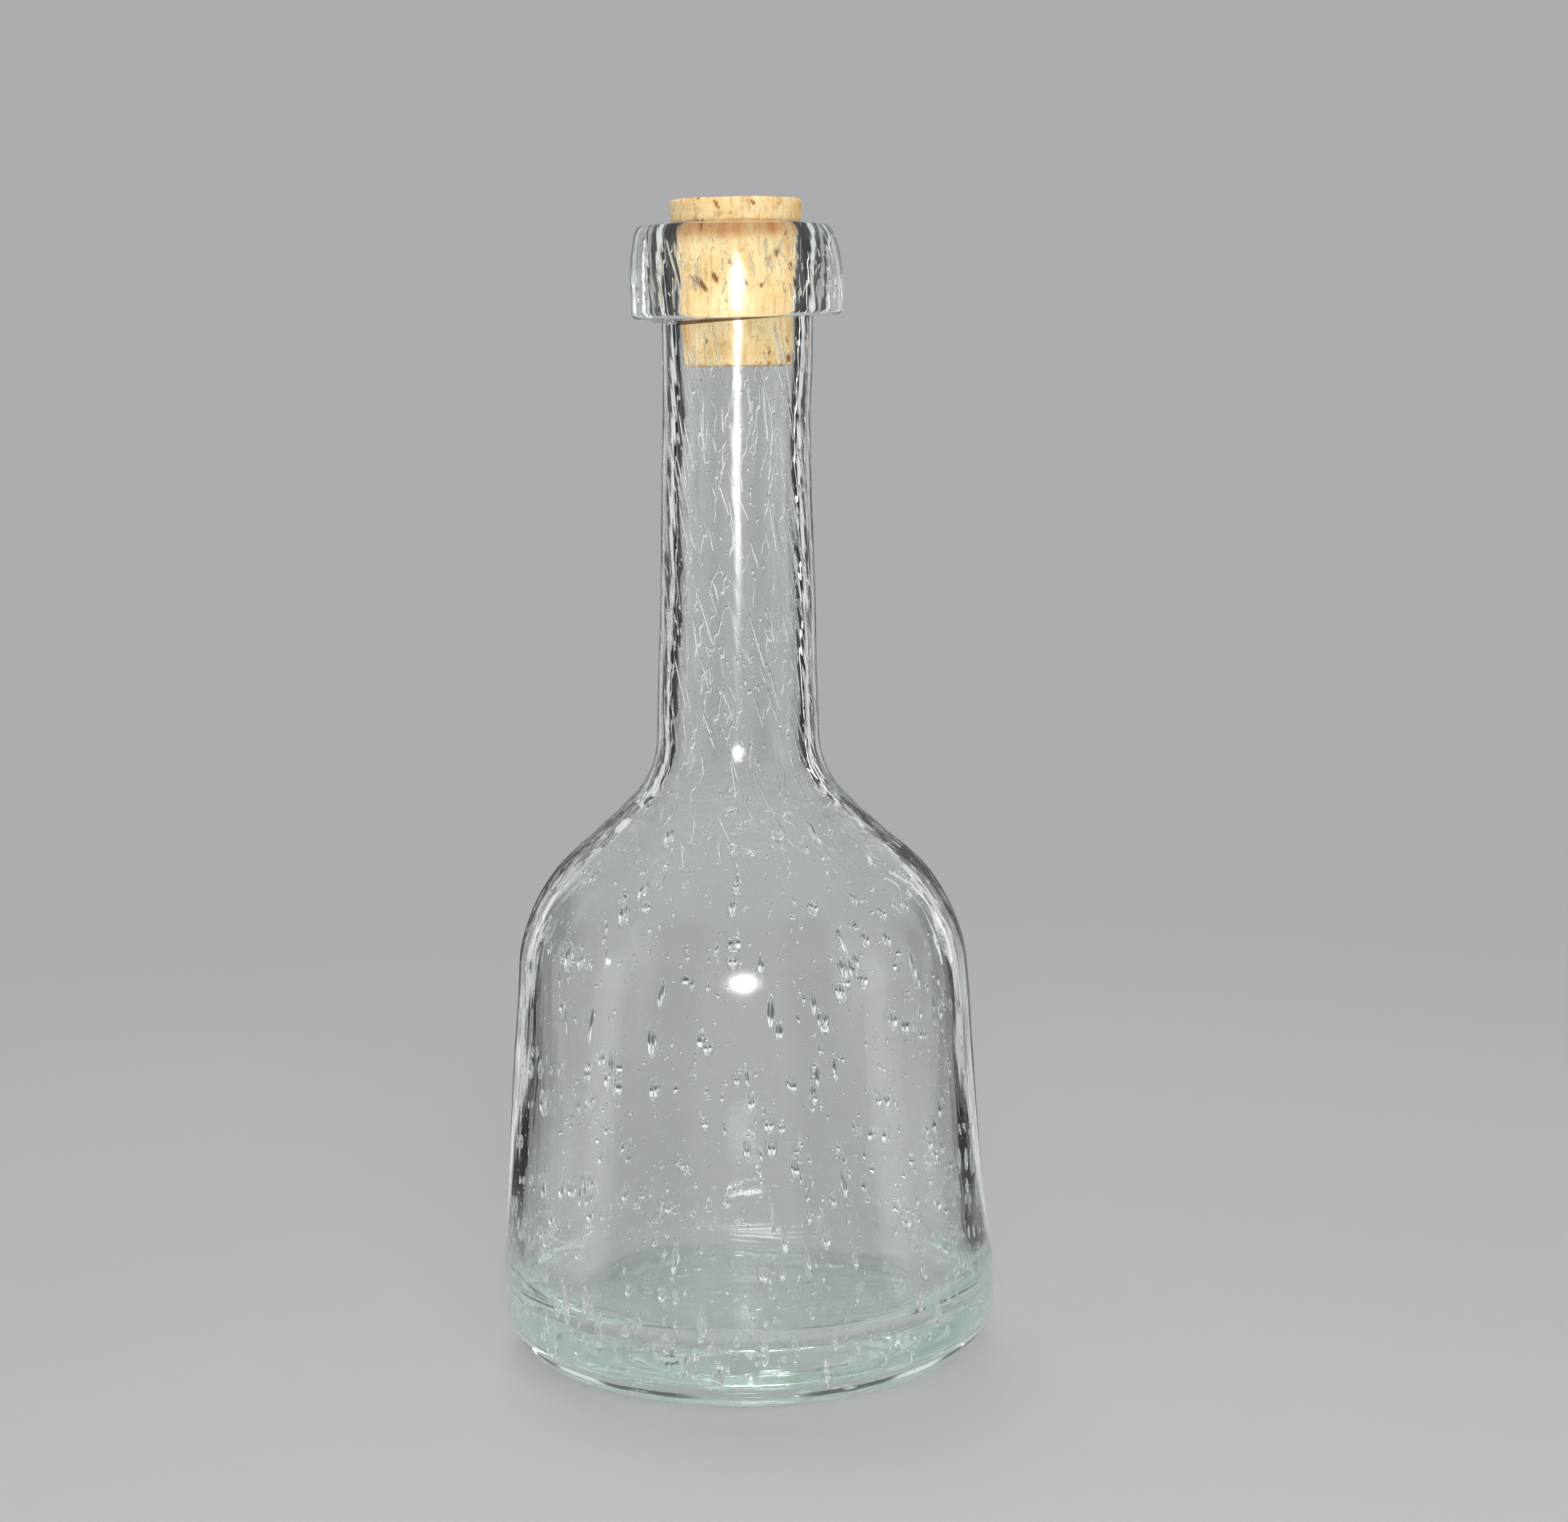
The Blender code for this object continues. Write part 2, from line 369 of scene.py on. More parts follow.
# Corners of the outline from the middle of the underside, up the outside and down the inside.
# Each has its radius, its height, the length its rounding takes off each side, and its steps.
outline = [
    (0.0, 0.0, 0.0, 0),
    (heel_radius, 0.0, 0.0155, 18),
    (body_top_radius, body_height, 0.0138, 14),
    (neck_foot_radius, neck_foot_height, 0.0083, 12),
    (neck_waist_radius, neck_waist_height, 0.0036, 3),
    (neck_top_radius - 0.0004, ring_foot_height - 0.0002, 0.0, 0),
    (neck_top_radius - 0.0005, ring_foot_height + 0.0006, 0.0, 0),
    (neck_top_radius + 0.0003, ring_foot_height + 0.0001, 0.0, 0),
    (ring_radius - 0.0003, ring_foot_height, 0.0017, 8),
    (ring_radius - 0.0002, ring_foot_height + 0.0100, 0.0030, 3),
    (ring_radius - 0.0006, ring_foot_height + 0.0146, 0.0018, 3),
    (ring_radius - 0.0013, ring_foot_height + 0.0183, 0.0010, 4),
    (ring_radius - 0.0021, rim_height, 0.0006, 4),
    (mouth_radius, rim_height, 0.0012, 6),
    (seat_foot_radius, seat_foot_height, 0.0027, 2),
    (inner_neck_radius, neck_waist_height, 0.0027, 2),
    (inner_neck_foot_radius, inner_neck_foot_height, 0.0101, 12),
    (inner_body_top_radius, inner_body_height, 0.0122, 14),
    (inner_floor_radius, floor_thickness, 0.0128, 28),
    (0.0, floor_thickness, 0.0, 0),
]

# The longest that an edge of the outline may stay on each part of the glass
underside_spacing = 1.0
inner_floor_spacing = 0.008
body_spacing = 0.0030
neck_spacing = 0.0036
ring_spacing = 0.0026
plain_floor_radius = 0.038
same_corner = 0.00002
weld_distance = 0.000002


def select_vertices(mesh_object, chosen):
    """Selects just the vertices of the object in edit mode that chosen(place) picks."""
    bpy.ops.mesh.select_mode(type="VERT")
    bpy.ops.mesh.select_all(action="DESELECT")
    bpy.ops.object.mode_set(mode="OBJECT")
    for vertex in mesh_object.data.vertices:
        vertex.select = chosen(vertex.co)
    bpy.ops.object.mode_set(mode="EDIT")


def draw_outline(name, corners):
    """Draws the outline as a line of points from a single vertex, and rounds its corners."""
    bpy.ops.object.select_all(action="DESELECT")
    bpy.ops.mesh.primitive_plane_add(size=0.01, location=(0.0, 0.0, 0.0))
    piece = bpy.context.object
    piece.name = name
    radius, height = corners[0][:2]
    bpy.ops.object.mode_set(mode="EDIT")
    bpy.ops.mesh.merge(type="CENTER")
    bpy.ops.transform.translate(value=(radius, 0.0, height))
    for corner, next_corner in zip(corners, corners[1:]):
        move = (next_corner[0] - corner[0], 0.0, next_corner[1] - corner[1])
        bpy.ops.mesh.extrude_vertices_move(TRANSFORM_OT_translate={"value": move})
    for radius, height, cut, steps in corners:
        if steps:
            corner = mathutils.Vector((radius, 0.0, height))
            select_vertices(piece, lambda place: (place - corner).length < same_corner)
            bpy.ops.mesh.bevel(offset=cut, offset_type="OFFSET", segments=steps, affect="VERTICES")
    return piece


def divide_outline(piece, longest, passes=7):
    """Halves the outline's edges until none is longer than longest(place) says."""
    for index in range(passes):
        bpy.ops.mesh.select_mode(type="EDGE")
        bpy.ops.mesh.select_all(action="DESELECT")
        bpy.ops.object.mode_set(mode="OBJECT")
        points = piece.data.vertices
        for edge in piece.data.edges:
            start, end = (points[corner].co for corner in edge.vertices)
            edge.select = (end - start).length > longest((start + end) / 2)
        bpy.ops.object.mode_set(mode="EDIT")
        bpy.ops.mesh.subdivide(number_cuts=1)


def turn_outline(steps):
    """Turns the outline once about the axis, as on a wheel, and closes the surface."""
    bpy.ops.mesh.select_mode(type="VERT")
    bpy.ops.mesh.select_all(action="SELECT")
    bpy.ops.mesh.spin(steps=steps, angle=2 * math.pi, center=(0, 0, 0), axis=(0, 0, 1))
    bpy.ops.mesh.select_all(action="SELECT")
    bpy.ops.mesh.remove_doubles(threshold=weld_distance)
    bpy.ops.mesh.normals_make_consistent(inside=False)
    bpy.ops.object.mode_set(mode="OBJECT")
    bpy.ops.object.shade_smooth()


def glass_spacing(place):
    """The flat floor needs few points, and the ring and the body need most."""
    if place.z < floor_thickness + 0.0005 and place.x < plain_floor_radius:
        return inner_floor_spacing if place.z > 0.001 else underside_spacing
    if place.z < ring_foot_height - 0.002:
        return body_spacing if place.z < body_height else neck_spacing
    return ring_spacing


glass = draw_outline("blown_glass", outline)
divide_outline(glass, glass_spacing)
turn_outline(spin_steps)

# Hand work leaves the glass slightly uneven: its surfaces wave a little, the base bulges with a
# faint waist above it, and faint tool marks ring the shoulder. The lip ring sits askew, lower on
# the left, and the right side of its top slumps inwards. The underside stays flat.
waves = (("wave", 0.030, 0.0005), ("ripple", 0.010, 0.00006))
skin = 0.0002
neck_freedom = 0.30
seat_freedom = 0.10
seat_margin = 0.0008
still_height = 0.003
mark_pitch = 0.0052
mark_depth = 0.00016
mark_height = 0.117
mark_reach = 0.0075

# The skew takes in a little of the neck under the ring. The crease between the two, where the
# band of hot glass was laid on, runs more aslant than the ring itself.
ring_skew = math.radians(0.8)
ring_slump = 0.0013
skew_below = 0.004
skew_inside = 0.001
crease_skew = math.radians(3.2)
crease_above = 0.0015
crease_reach = 0.0206
crease_full_reach = 0.0008
crease_fade = 0.0060

# At each height, how far the glass leans to the right and how far it swells
hand_shape = [
    (0.000, 0.0003, 0.0007), (0.004, 0.0004, 0.0006), (0.008, 0.0006, 0.0004),
    (0.011, 0.0005, 0.0), (0.014, 0.0004, -0.0003), (0.021, 0.0002, 0.0003),
    (0.027, 0.0, 0.0), (0.036, -0.0003, -0.0002), (0.065, -0.00025, -0.0002),
    (0.080, 0.0, -0.0001), (0.100, -0.0003, -0.0001), (0.108, -0.0003, -0.0004),
    (0.115, -0.0004, -0.0006), (0.122, -0.0004, -0.0002), (0.128, -0.0003, -0.0004),
    (0.134, -0.0004, 0.0001), (0.150, -0.0003, 0.0), (0.162, 0.0, 0.0),
    (0.190, 0.0, 0.0), (0.200, 0.0002, 0.0001), (0.2125, 0.0006, 0.0001),
    (0.2225, 0.0007, 0.0), (0.242, 0.0007, 0.0)]
hand_heights, hand_leans, hand_swells = zip(*hand_shape)
hand_evening = np.linspace(-0.0026, 0.0026, 14)


def hand_made(height, values):
    """A value of the list at a height, evened out over a few millimetres as soft glass is."""
    return float(np.mean(np.interp(height + hand_evening, hand_heights, values)))


def add_unevenness(piece, patterns, freedom_group=""):
    """Moves the surface in and out by soft patterns, each with a name, a size and a depth."""
    for name, size, depth in patterns:
        clouds = bpy.data.textures.new(name, type="CLOUDS")
        clouds.noise_scale = size
        unevenness = piece.modifiers.new(name, "DISPLACE")
        unevenness.texture = clouds
        unevenness.texture_coords = "LOCAL"
        unevenness.strength = depth
        unevenness.mid_level = 0.5
        unevenness.vertex_group = freedom_group
        bpy.ops.object.modifier_apply(modifier=name)


free_part = glass.vertex_groups.new(name="free_part")
for vertex in glass.data.vertices:
    reach = math.hypot(vertex.co.x, vertex.co.y)
    climb = (vertex.co.z - body_height) / (neck_foot_height - body_height)
    freedom = 1.0 if vertex.co.z > still_height else 0.0
    if 0 < climb and vertex.co.z < ring_foot_height:
        freedom = max(neck_freedom, 1 - climb)
    if vertex.co.z > seat_foot_height and reach < mouth_radius + seat_margin:
        freedom = seat_freedom
    free_part.add([vertex.index], freedom, "REPLACE")
add_unevenness(glass, waves, freedom_group="free_part")
for vertex in glass.data.vertices:
    place = vertex.co
    reach = max(math.hypot(place.x, place.y), skin)
    marks = math.exp(-((place.z - mark_height) / mark_reach) ** 2)
    swell = mark_depth * marks * math.sin(2 * math.pi * place.z / mark_pitch)
    swell += hand_made(place.z, hand_swells)
    swell *= min(1.0, reach / neck_foot_radius)
    lean = hand_made(place.z, hand_leans)
    if place.z > ring_foot_height - skew_below and reach > neck_top_radius - skew_inside:
        top_share = max(0.0, (place.z - ring_foot_height) / (rim_height - ring_foot_height))
        lean -= ring_slump * top_share ** 3 * max(0.0, place.x / reach)
        skew = place.x * math.tan(ring_skew) * (1 - top_share)
        if place.z < ring_foot_height + crease_above and reach < crease_reach:
            full_reach = crease_reach - neck_top_radius - crease_full_reach
            fade = min(1.0, (crease_reach - reach) / full_reach)
            fade *= min(1.0, 1 - (ring_foot_height - place.z) / crease_fade)
            skew += place.x * math.tan(crease_skew) * fade
        place.z += skew
    place.x += lean + swell * place.x / reach
    place.y += swell * place.y / reach


# The glass is full of seeds, small air bubbles that were drawn out upwards with it. One round
# bubble is modelled at each fineness and copied at many sizes. Each copy lies between the two
# surfaces of the wall, longest along the wall, and its faces point into the air that it holds.
seed_flatness = 0.8
seed_wall_share = 0.32
upright_normal = 0.05
outside_reach = 0.2
below_underside = -0.1

random.seed(11)
seed_shapes = {}
for name, segments, rings in (("tiny", 5, 3), ("fine", 6, 4), ("thin", 5, 5), ("oval", 8, 6)):
    bpy.ops.object.select_all(action="DESELECT")
    bpy.ops.mesh.primitive_uv_sphere_add(segments=segments, ring_count=rings, radius=1.0)
    bubble = bpy.context.object
    seed_shapes[name] = (
        np.array([vertex.co for vertex in bubble.data.vertices]),
        [list(reversed(face.vertices)) for face in bubble.data.polygons])
    bpy.data.objects.remove(bubble, do_unlink=True)
seed_mesh_points = []
seed_mesh_faces = []
glass_tree = mathutils.bvhtree.BVHTree.FromPolygons(
    [vertex.co for vertex in glass.data.vertices], [face.vertices for face in glass.data.polygons])


def wall_at(start, way):
    """The outer point, its normal and the glass thickness where a line from outside meets it."""
    outer, normal = glass_tree.ray_cast(start, way)[:2]
    thickness = glass_tree.ray_cast(outer - normal * skin, -normal)[3]
    return outer, normal, thickness + skin


def in_glass(place):
    """Whether a place lies in the wall, behind the surface that is nearest to it."""
    nearest, normal = glass_tree.find_nearest(place)[:2]
    return (place - nearest).dot(normal) < 0


def add_seed(shape, start, way, half_width, half_length, depth_share, slant):
    """Sets one bubble in the wall; slant turns it about the wall's own normal.

    A bubble that would break the surface is left out, as it would have burst in the hot glass.
    """
    outer, normal, thickness = wall_at(start, way)
    half_depth = min(half_width * seed_flatness, thickness * seed_wall_share)
    room = thickness - 2 * half_depth - 2 * skin
    centre = outer - normal * (half_depth + skin + room * depth_share)
    around = mathutils.Vector((0, 0, 1)).cross(normal)
    if around.length < upright_normal:
        around = mathutils.Vector((1, 0, 0)).cross(normal)
    around.normalize()
    along = normal.cross(around)
    turned = mathutils.Matrix.Rotation(slant, 3, normal)
    axes = np.array([turned @ around * half_width, normal * half_depth, turned @ along * half_length])
    points, faces = seed_shapes[shape]
    # the sphere's poles lie on its third axis, the long one
    places = (points @ axes + np.array(centre)).tolist()
    if all(in_glass(mathutils.Vector(place)) for place in places):
        first = len(seed_mesh_points)
        seed_mesh_points.extend(places)
        seed_mesh_faces.extend([[first + corner for corner in face] for face in faces])


def from_side(angle, height):
    """A start outside the carafe and the way straight in to its axis."""
    way = mathutils.Vector((math.cos(angle), math.sin(angle), 0.0))
    return way * outside_reach + mathutils.Vector((0, 0, height)), -way


# Body and shoulder: many fine seeds and fewer large or long ones, closer together low down.
# Each row has a count, the least and greatest half width, and the least and greatest stretch.
body_seeds_low = 0.0135
body_seeds_span = 0.1045
body_seeds_crowding = 1.5
body_seeds_wander = 0.07
for shape, count, thin, wide, least, most in (
        ("tiny", 1200, 0.00015, 0.00036, 1.0, 2.0),
        ("fine", 620, 0.00034, 0.00064, 1.2, 2.8),
        ("oval", 270, 0.00062, 0.00135, 1.3, 2.8),
        ("oval", 62, 0.00060, 0.00110, 3.2, 5.5)):
    for index in range(count):
        height = body_seeds_low + body_seeds_span * random.random() ** body_seeds_crowding
        half_width = thin + (wide - thin) * random.random() ** body_seeds_crowding
        half_length = half_width * random.uniform(least, most)
        start, way = from_side(random.uniform(0, 2 * math.pi), height)
        add_seed(shape, start, way, half_width, half_length, random.random(),
                 random.gauss(0.0, body_seeds_wander))

# Foot of the body: larger, rounder seeds
foot_seeds_count = 56
foot_seeds_heights = (0.0145, 0.040)
foot_seeds_half_widths = (0.0006, 0.0013)
foot_seeds_stretches = (1.0, 1.9)
foot_seeds_wander = 0.2
for index in range(foot_seeds_count):
    height = random.uniform(*foot_seeds_heights)
    half_width = random.uniform(*foot_seeds_half_widths)
    half_length = half_width * random.uniform(*foot_seeds_stretches)
    start, way = from_side(random.uniform(0, 2 * math.pi), height)
    add_seed("oval", start, way, half_width, half_length, random.random(),
             random.gauss(0.0, foot_seeds_wander))

# Neck: long thin seeds that the last twist of the blowing iron left aslant, and fine ones
neck_twist = math.radians(13)
neck_seeds_low = 0.110
neck_seeds_span = 0.108
neck_seeds_crowding = 1.1
neck_seeds_longest = 0.0070
neck_seeds_wander = 0.08
for shape, count, thin, wide, least, most in (
        ("thin", 300, 0.00015, 0.00033, 10.0, 25.0), ("tiny", 900, 0.00014, 0.00034, 1.2, 4.0)):
    for index in range(count):
        height = neck_seeds_low + neck_seeds_span * random.random() ** neck_seeds_crowding
        half_width = random.uniform(thin, wide)
        half_length = min(half_width * random.uniform(least, most), neck_seeds_longest)
        start, way = from_side(random.uniform(0, 2 * math.pi), height)
        slant = random.gauss(neck_twist, neck_seeds_wander)
        add_seed(shape, start, way, half_width, half_length, random.random(), slant)

# Base: round seeds in the thick floor
base_seeds_reach = 0.040
base_seeds_stretches = (0.9, 1.5)
up = mathutils.Vector((0, 0, 1))
for shape, count, thin, wide in (("tiny", 150, 0.00015, 0.00035), ("oval", 34, 0.00050, 0.0011)):
    for index in range(count):
        angle = random.uniform(0, 2 * math.pi)
        radius = base_seeds_reach * math.sqrt(random.random())
        start = mathutils.Vector(
            (radius * math.cos(angle), radius * math.sin(angle), below_underside))
        half_width = random.uniform(thin, wide)
        half_length = half_width * random.uniform(*base_seeds_stretches)
        add_seed(shape, start, up, half_width, half_length, random.random(), angle)

# Lip ring: short streaks drawn out in the winding, and long ones caught along the fold
ring_seeds_heights = (0.003, 0.016)
ring_seeds_longest = 0.0030
ring_seeds_wander = 0.3
for shape, count, thin, wide, least, most, slant in (
        ("tiny", 120, 0.00012, 0.00026, 2.0, 8.0, 0.0),
        ("thin", 26, 0.00014, 0.00030, 8.0, 18.0, math.radians(14))):
    for index in range(count):
        height = ring_foot_height + random.uniform(*ring_seeds_heights)
        half_width = random.uniform(thin, wide)
        half_length = min(half_width * random.uniform(least, most), ring_seeds_longest)
        start, way = from_side(random.uniform(0, 2 * math.pi), height)
        turn = random.gauss(slant, ring_seeds_wander)
        add_seed(shape, start, way, half_width, half_length, random.random(), turn)
start, way = from_side(angle=math.radians(-125), height=0.2336)
add_seed("thin", start, way, half_width=0.00034, half_length=0.0058, depth_share=0.1,
         slant=math.radians(21))

seed_mesh = bpy.data.meshes.new("seeds")
seed_mesh.from_pydata(seed_mesh_points, [], seed_mesh_faces)
seed_mesh.shade_smooth()
seeds = bpy.data.objects.new("seeds", seed_mesh)
bpy.context.collection.objects.link(seeds)
bpy.ops.object.select_all(action="DESELECT")
seeds.select_set(True)
glass.select_set(True)
bpy.context.view_layer.objects.active = glass
bpy.ops.object.join()

# The glass is clear and a little green where it is thick. Faint streaks run up it, strongest on
# the neck, where they turn with the twist. A thin brown line of painted shade lies in the crease
# under the ring, at the front and at the back.
glass_bending = 1.52
glass_tint = (0.970, 0.985, 0.978, 1.0)
glass_depth_colour = (0.60, 0.88, 0.79, 1.0)
glass_depth_density = 3.5
twist_start = 0.112
twist_rate = 17.0
streak_fineness = 210.0
streak_stretch = 0.12
streak_detail = 2.0
body_streak_share = 0.35
streak_strength = 0.35
streak_depth = 0.0005
crease_shade_brown = (0.05, 0.022, 0.010, 1.0)
crease_shade_half_height = 0.0005
crease_shade_half_depth = 0.0013
crease_shade_half_width = 0.0118


def add_noise(tree, place, fineness, stretch, detail):
    """A cloudy pattern on the piece, drawn out along its axis where stretch is under 1."""
    drawn = tree.nodes.new("ShaderNodeMapping")
    drawn.inputs["Scale"].default_value = (1.0, 1.0, stretch)
    feed(tree, drawn.inputs["Vector"], place)
    noise = tree.nodes.new("ShaderNodeTexNoise")
    noise.inputs["Scale"].default_value = fineness
    noise.inputs["Detail"].default_value = detail
    feed(tree, noise.inputs["Vector"], drawn.outputs["Vector"])
    return noise.outputs["Fac"]


def add_relief(tree, surface, pattern, strength, depth):
    """Lets a pattern stand out of the surface as fine relief."""
    relief = tree.nodes.new("ShaderNodeBump")
    relief.inputs["Strength"].default_value = strength
    relief.inputs["Distance"].default_value = depth
    feed(tree, relief.inputs["Height"], pattern)
    feed(tree, surface.inputs["Normal"], relief.outputs["Normal"])


glass_finish = bpy.data.materials.new("seeded_glass")
glass_finish.use_nodes = True
tree = glass_finish.node_tree
surface = tree.nodes["Principled BSDF"]
surface.inputs["Roughness"].default_value = 0.0
surface.inputs["IOR"].default_value = glass_bending
surface.inputs["Transmission Weight"].default_value = 1.0
place = tree.nodes.new("ShaderNodeTexCoord").outputs["Object"]
split = add_split(tree, place)
above = add_math(tree, "SUBTRACT", split["Z"], twist_start)
neck_only = add_math(tree, "MAXIMUM", above, 0.0)
turned = tree.nodes.new("ShaderNodeVectorRotate")
turned.rotation_type = "Z_AXIS"
feed(tree, turned.inputs["Vector"], place)
feed(tree, turned.inputs["Angle"], add_math(tree, "MULTIPLY", neck_only, twist_rate))
streaks = add_noise(tree, turned.outputs["Vector"], streak_fineness, streak_stretch, streak_detail)
streak_share = add_range(tree, split["Z"], body_height, neck_foot_height, body_streak_share,
                         eased=True)
streaks = add_math(tree, "MULTIPLY", streaks, streak_share)
add_relief(tree, surface, streaks, streak_strength, streak_depth)
# Painted shade: a thin brown line in the glass's colour along the crease under the ring, front and
# back.
crease_rise = -math.tan(crease_skew + ring_skew)
level_in_crease = add_math(tree, "MULTIPLY_ADD", split["X"], crease_rise, split["Z"])
in_crease = add_math(tree, "COMPARE", level_in_crease, ring_foot_height, crease_shade_half_height)
flat_place = add_vector_math(tree, "MULTIPLY", place, (1.0, 1.0, 0.0))["Vector"]
from_axis = add_vector_math(tree, "LENGTH", flat_place)["Value"]
on_neck = add_math(tree, "COMPARE", from_axis, neck_top_radius, crease_shade_half_depth)
in_middle = add_math(tree, "COMPARE", split["X"], 0.0, crease_shade_half_width)
painted_crease_shade = add_math(tree, "MULTIPLY", in_crease, in_middle)
painted_crease_shade = add_math(tree, "MULTIPLY", painted_crease_shade, on_neck)
tint = add_mix(tree, painted_crease_shade, glass_tint, crease_shade_brown, kind="RGBA")
feed(tree, surface.inputs["Base Color"], tint)
thick_glass = tree.nodes.new("ShaderNodeVolumeAbsorption")
thick_glass.inputs["Color"].default_value = glass_depth_colour
thick_glass.inputs["Density"].default_value = glass_depth_density
feed(tree, tree.nodes["Material Output"].inputs["Volume"], thick_glass.outputs["Volume"])
glass.data.materials.clear()
glass.data.materials.append(glass_finish)
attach(glass, "bottle")
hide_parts("glass_bottle", "lip_ring")


# The stopper is one tapered natural cork. It was cut from bark and sanded, so it is matt and
# fine-grained, with brown pores and two small chips near its foot. It is pressed in by hand,
# which squeezes the plug a little. Where the rim meets it, a band of orange-brown painted shade
# is laid on.
cork_low, cork_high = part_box("cork_stopper")
cork_foot_radius = 0.01125
cork_plug_radius = 0.01272
cork_head_foot_radius = 0.01370
cork_top_radius = cork_high.x
cork_crown = 0.0006
cork_spin_steps = 200
cork_side_spacing = 0.00045
cork_end_spacing = 0.0009
cork_end_reach = 0.0105

cork = draw_outline("natural_cork", [
    (0.0, cork_low.z, 0.0, 0),
    (cork_foot_radius, cork_low.z, 0.0007, 4),
    (cork_plug_radius, rim_height - 0.0002, 0.0008, 3),
    (cork_head_foot_radius, rim_height + 0.0010, 0.0006, 3),
    (cork_top_radius, cork_high.z - cork_crown, 0.0008, 4),
    (0.0, cork_high.z, 0.0, 0),
])
divide_outline(
    cork, lambda place: cork_side_spacing if place.x > cork_end_reach else cork_end_spacing)
turn_outline(cork_spin_steps)

# Each pore has its direction round the cork, its height, half width, half length, slant, depth.
# The clearest ones are listed one by one. The fifth and the sixth are the chips.
cork_pores = [
    (math.radians(-121), 0.2294, 0.00050, 0.0023, math.radians(36), 0.0007),
    (math.radians(-108), 0.2306, 0.00048, 0.0014, math.radians(30), 0.0006),
    (math.radians(-38), 0.2326, 0.00055, 0.0011, math.radians(10), 0.0006),
    (math.radians(-155), 0.2292, 0.00050, 0.0012, math.radians(25), 0.0006),
    (math.radians(-28), 0.2136, 0.00160, 0.0016, 0.0, 0.0008),
    (math.radians(-40), 0.2128, 0.00110, 0.0009, 0.0, 0.0006),
    (math.radians(-82), 0.2296, 0.00028, 0.0008, math.radians(20), 0.0004),
    (math.radians(-69), 0.2290, 0.00030, 0.0005, 0.0, 0.0004),
]
side_pores_count = 70
side_pores_half_widths = (0.00012, 0.00034)
side_pores_half_lengths = (0.0003, 0.0013)
side_pores_slant = 0.35
side_pores_wander = 0.25
end_pores_count = 46
end_pores_reach = 0.012
end_pores_half_widths = (0.00015, 0.00035)
end_pores_half_lengths = (0.0003, 0.0016)
end_pores_slant = 0.5
end_pores_wander = 0.3
pore_depths = (0.0002, 0.0005)
random.seed(5)
for index in range(side_pores_count):
    cork_pores.append((
        random.uniform(-math.pi, math.pi), random.uniform(cork_low.z, cork_high.z),
        random.uniform(*side_pores_half_widths), random.uniform(*side_pores_half_lengths),
        random.gauss(side_pores_slant, side_pores_wander), random.uniform(*pore_depths)))
end_pores = []
for index in range(end_pores_count):
    end_pores.append((
        random.uniform(-end_pores_reach, end_pores_reach),
        random.uniform(-end_pores_reach, end_pores_reach),
        random.uniform(*end_pores_half_widths), random.uniform(*end_pores_half_lengths),
        random.gauss(end_pores_slant, end_pores_wander), random.uniform(*pore_depths)))


def pore_shape(across, up, half_width, half_length, slant):
    """How deep in a slanted oval pore each point lies: 1 in its middle and 0 at its edge."""
    along = up * math.cos(slant) - across * math.sin(slant)
    beside = across * math.cos(slant) + up * math.sin(slant)
    return np.clip(1 - (beside / half_width) ** 2 - (along / half_length) ** 2, 0, 1)


# The pores are pressed into the side first, and then into the top and the foot.
side_start = 0.0113
end_thickness = 0.0008
end_reach = 0.0128
points = np.empty(len(cork.data.vertices) * 3)
cork.data.vertices.foreach_get("co", points)
points = points.reshape(-1, 3)
reach = np.hypot(points[:, 0], points[:, 1])
angles = np.arctan2(points[:, 1], points[:, 0])
outward = points[:, :2] / np.maximum(reach, 0.0001)[:, None]
pore_mask = np.zeros(len(points))
sunk = np.zeros(len(points))
side = reach > side_start
for angle, height, half_width, half_length, slant, depth in cork_pores:
    turn = (angles - angle + math.pi) % (2 * math.pi) - math.pi
    inside = pore_shape(turn * reach, points[:, 2] - height, half_width, half_length, slant) * side
    sunk = np.maximum(sunk, depth * inside)
    pore_mask = np.maximum(pore_mask, inside)
points[:, :2] -= outward * sunk[:, None]
for end_height, sign in ((cork_high.z, 1), (cork_low.z, -1)):
    at_end = (np.abs(points[:, 2] - end_height) < end_thickness) & (reach < end_reach)
    for x, y, half_width, half_length, slant, depth in end_pores:
        across = points[:, 0] - x * sign
        inside = pore_shape(across, points[:, 1] - y, half_width, half_length, slant) * at_end
        points[:, 2] -= sign * depth * inside
        pore_mask = np.maximum(pore_mask, inside)
points[:, 0] += hand_leans[-1]
cork.data.vertices.foreach_set("co", points.ravel())
cork.data.attributes.new("pore", "FLOAT", "POINT").data.foreach_set("value", pore_mask)
add_unevenness(cork, (("hand_cut", 0.006, 0.00030), ("cork_grain", 0.0007, 0.00012)))
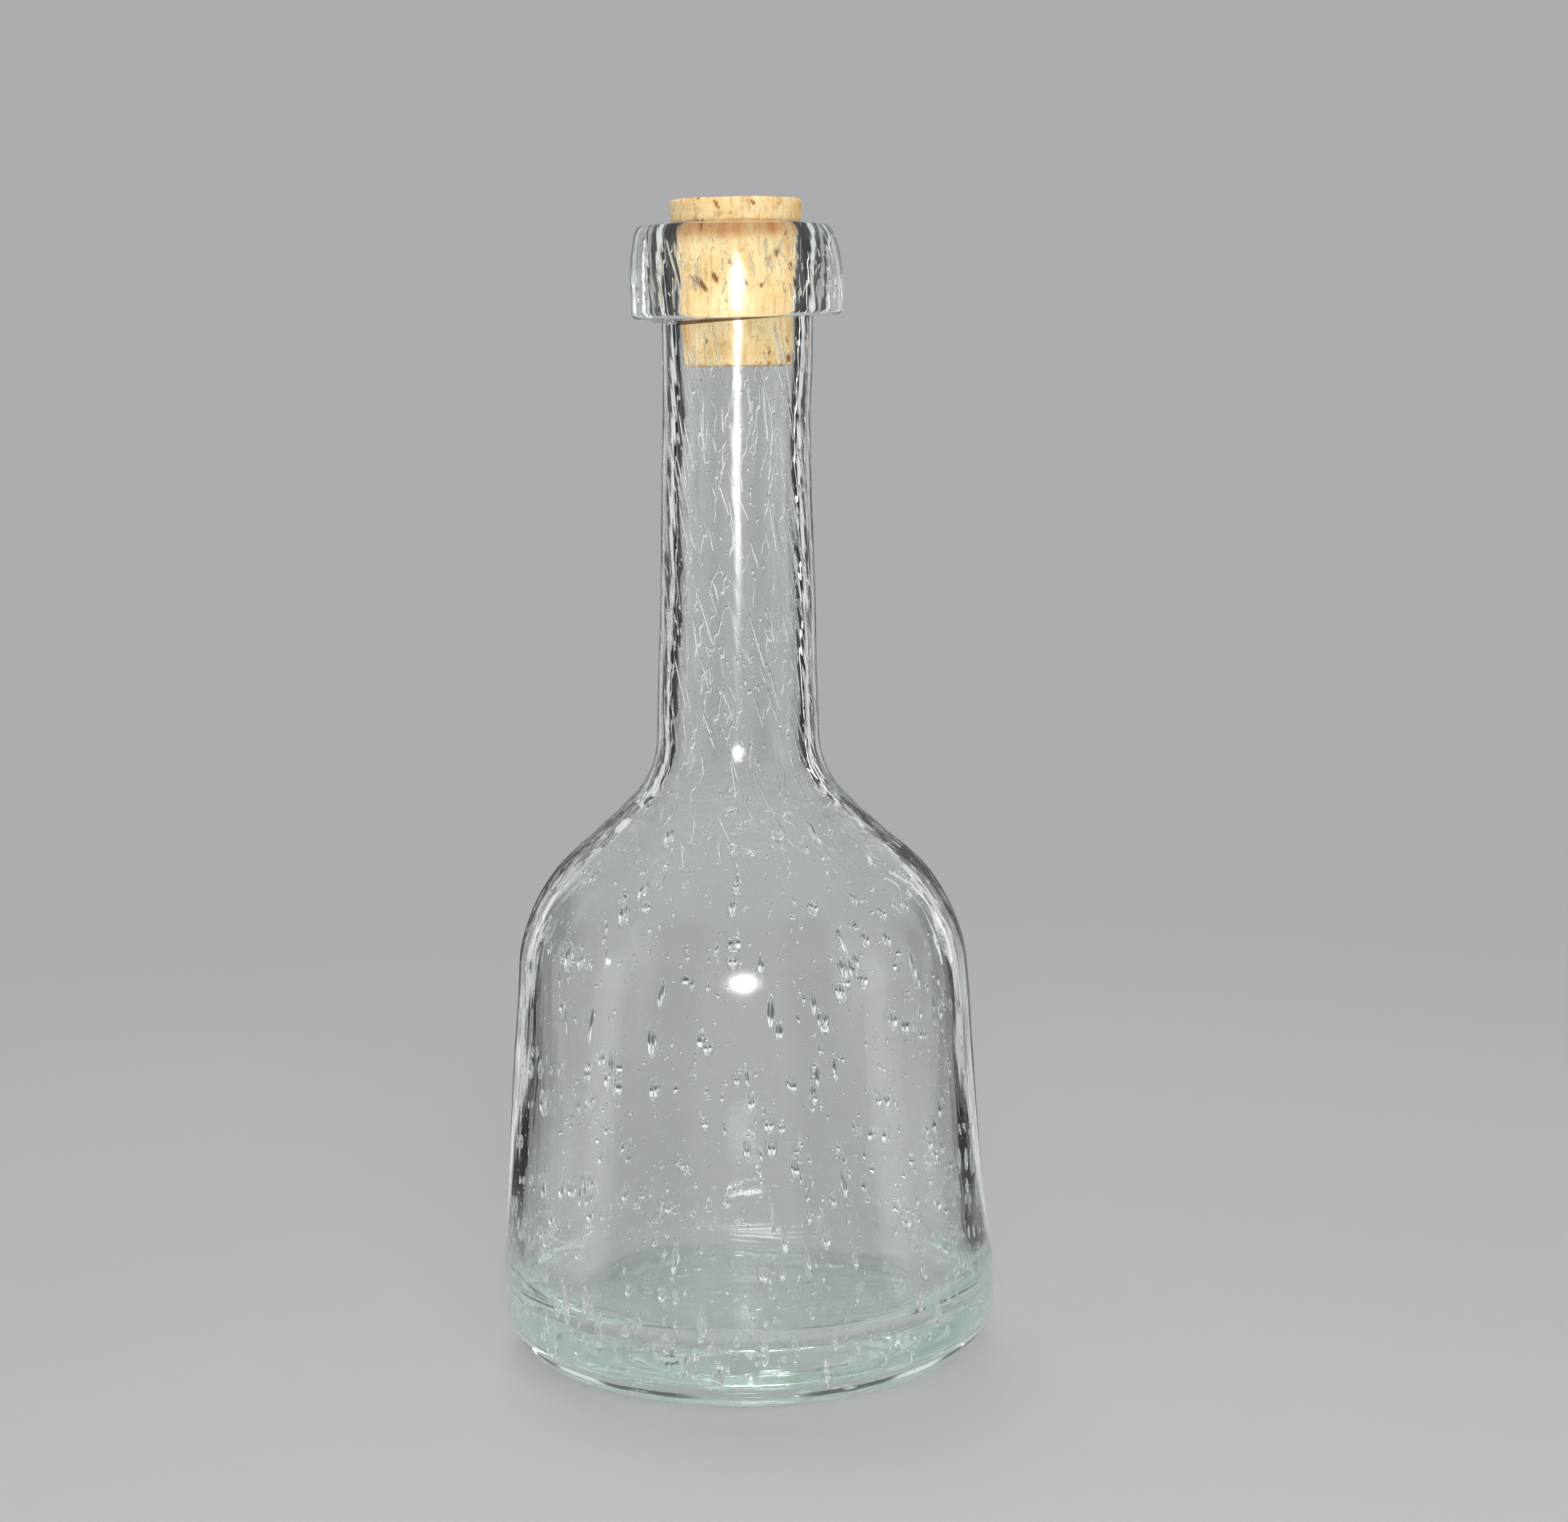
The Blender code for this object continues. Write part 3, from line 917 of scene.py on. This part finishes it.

# Cork is a mottled tan, flecked and grained with brown, and its pores are dark. The painted
# shade, a mottled orange-brown band, begins under the rim and ends just above it.
cork_roughness = 0.85
cork_gloss = 0.25
cork_pale = (0.93, 0.73, 0.40, 1.0)
cork_tan = (0.86, 0.55, 0.22, 1.0)
cork_brown = (0.50, 0.22, 0.06, 1.0)
rim_shade_orange = (0.66, 0.25, 0.05, 1.0)
pore_brown = (0.33, 0.13, 0.03, 1.0)
rim_shade_foot = rim_height - 0.0046
rim_shade_full = rim_height - 0.0022
rim_shade_ebb = rim_height + 0.0002
rim_shade_top = rim_height + 0.0012
fibre_share = 0.55
speck_share = 0.5
patch_share = 0.6
pore_gain = 2.2
grain_fineness = 2600.0
grain_detail = 3.0
grain_strength = 0.5
grain_depth = 0.0002

cork_finish = bpy.data.materials.new("natural_cork")
cork_finish.use_nodes = True
tree = cork_finish.node_tree
surface = tree.nodes["Principled BSDF"]
surface.inputs["Roughness"].default_value = cork_roughness
surface.inputs["Specular IOR Level"].default_value = cork_gloss
place = tree.nodes.new("ShaderNodeTexCoord").outputs["Object"]
height = add_split(tree, place)["Z"]


def add_marks(fineness, stretch, detail, least, most):
    """A noise pattern as a mask, from none at its least value to full at its most."""
    return add_range(tree, add_noise(tree, place, fineness, stretch, detail), least, most)


mottle = add_marks(190.0, 0.7, 3.0, 0.42, 0.70)
fibre = add_marks(1500.0, 0.12, 2.0, 0.50, 0.78)
speck = add_marks(1700.0, 1.0, 2.0, 0.58, 0.72)
patch = add_marks(330.0, 0.8, 3.0, 0.58, 0.74)
rim_shade_mottle = add_marks(240.0, 0.6, 4.0, 0.25, 0.60)
# Painted shade: an orange-brown band round the cork where the rim meets it, broken up by a mottle.
rim_shade_rise = add_range(tree, height, rim_shade_foot, rim_shade_full, eased=True)
rim_shade_fall = add_range(tree, height, rim_shade_ebb, rim_shade_top, 1.0, 0.0, eased=True)
rim_shaded = add_math(tree, "MULTIPLY", rim_shade_rise, rim_shade_fall)
pore = tree.nodes.new("ShaderNodeAttribute")
pore.attribute_name = "pore"
colour = cork_pale
for share, next_colour in (
        (mottle, cork_tan),
        (add_math(tree, "MULTIPLY", fibre, fibre_share), cork_brown),
        (add_math(tree, "MULTIPLY", patch, patch_share), cork_brown),
        (add_math(tree, "MULTIPLY", speck, speck_share), cork_brown),
        (add_math(tree, "MULTIPLY", rim_shaded, rim_shade_mottle), rim_shade_orange),
        (add_math(tree, "MULTIPLY", pore.outputs["Fac"], pore_gain, clamp=True), pore_brown)):
    colour = add_mix(tree, share, colour, next_colour, kind="RGBA")
feed(tree, surface.inputs["Base Color"], colour)
grain = add_noise(tree, place, grain_fineness, 1.0, grain_detail)
add_relief(tree, surface, grain, grain_strength, grain_depth)
cork.data.materials.clear()
cork.data.materials.append(cork_finish)
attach(cork, "stopper")
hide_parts("cork_stopper")
